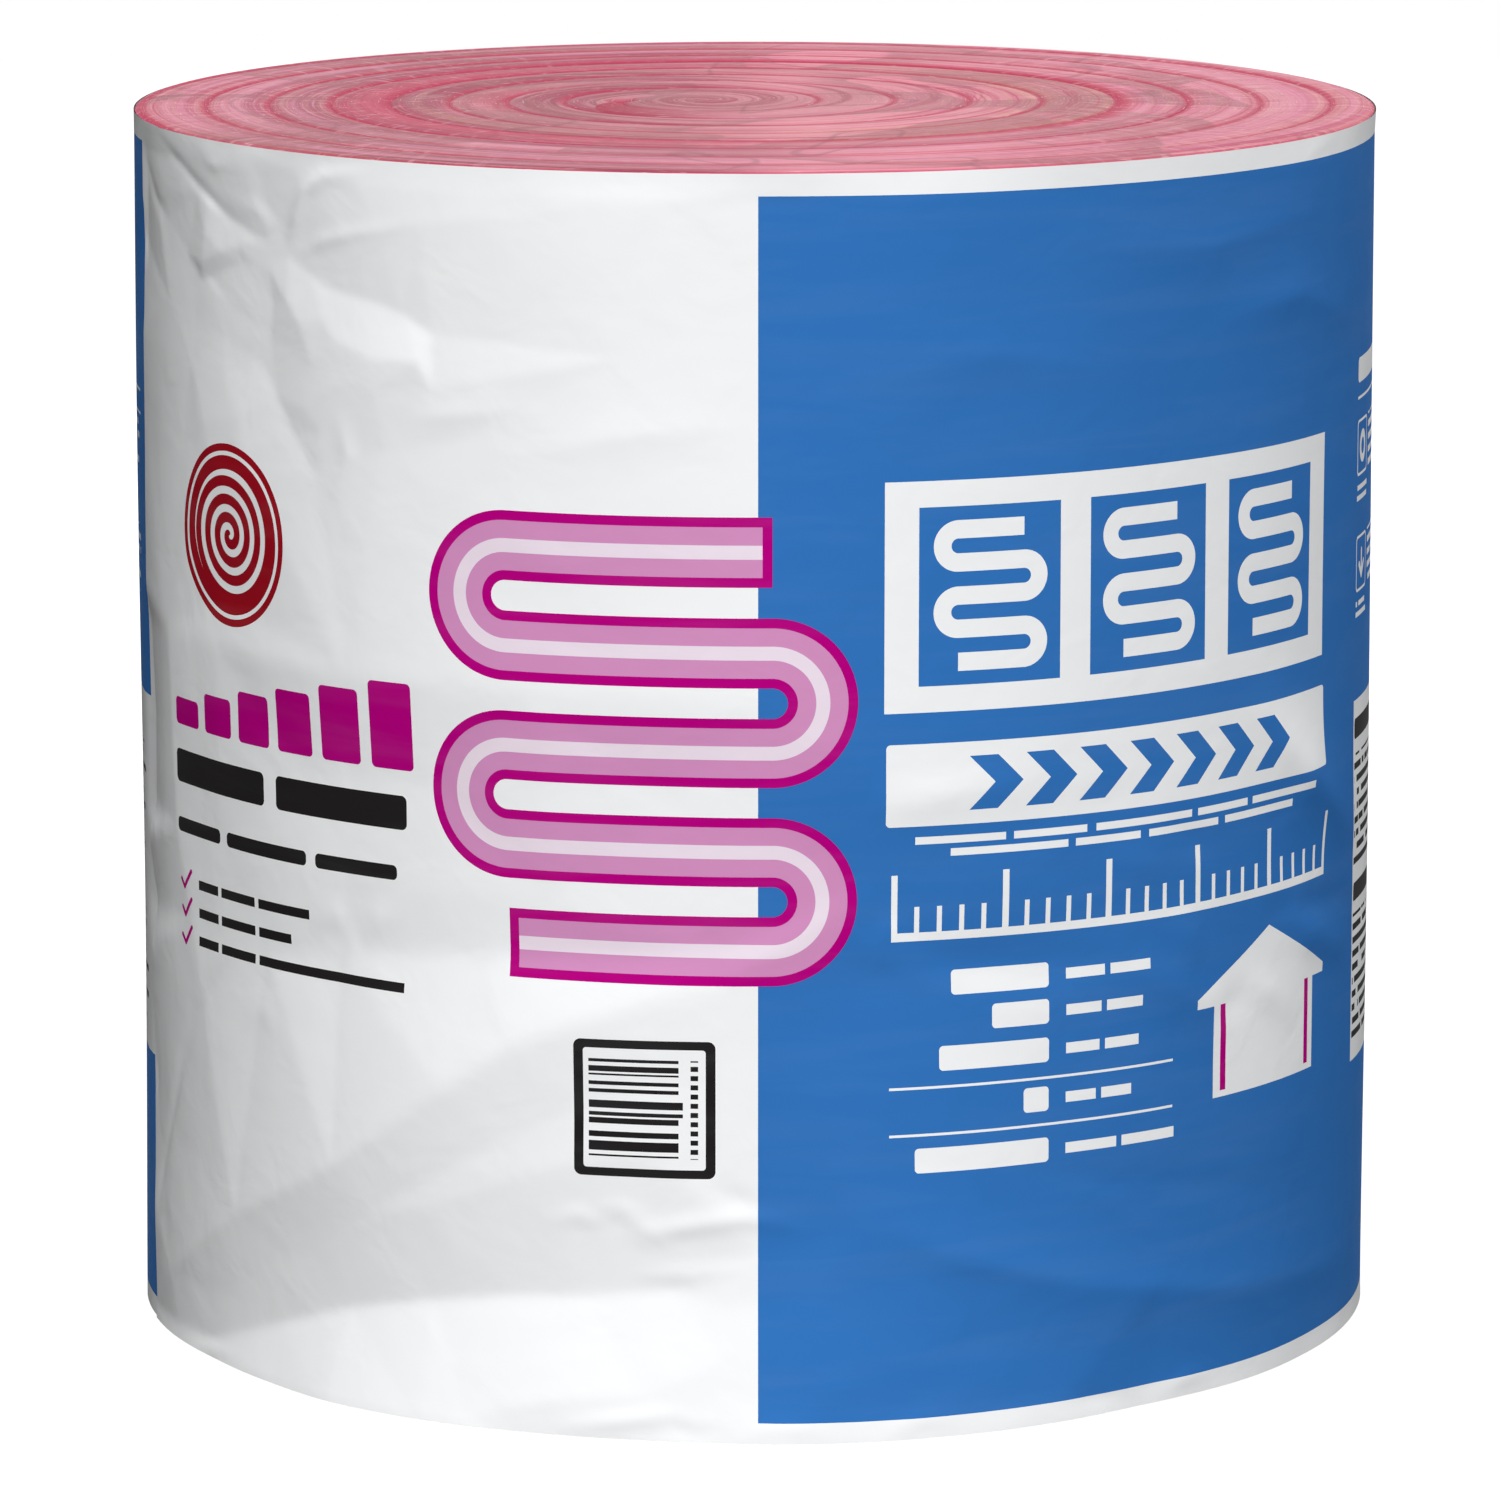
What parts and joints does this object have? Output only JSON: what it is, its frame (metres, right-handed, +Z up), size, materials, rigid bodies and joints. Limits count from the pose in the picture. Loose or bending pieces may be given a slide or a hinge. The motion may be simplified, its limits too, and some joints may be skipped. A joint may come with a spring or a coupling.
{
  "type": "insulation roll",
  "caption": "Thick glass wool insulation blanket wound into a tight roll that stands on its end, in a lapped printed film sleeve.",
  "frame": {"origin": "on the floor, at the middle of the roll's lower end", "axes": "+Z up along the roll's axis; -Y is the front, where the print's white and blue panels meet; +X is the right"},
  "size_m": [0.597, 0.597, 0.5842],
  "materials": {
    "glass_wool": "matt dyed glass fibre, streaked along the turns",
    "printed_film": "soft gloss white polyethylene film printed in blue, creased where it is drawn tight"
  },
  "bodies": {
    "root": {"wool_roll": "glass_wool", "film_sleeve": "printed_film"}
  },
  "joints": []
}
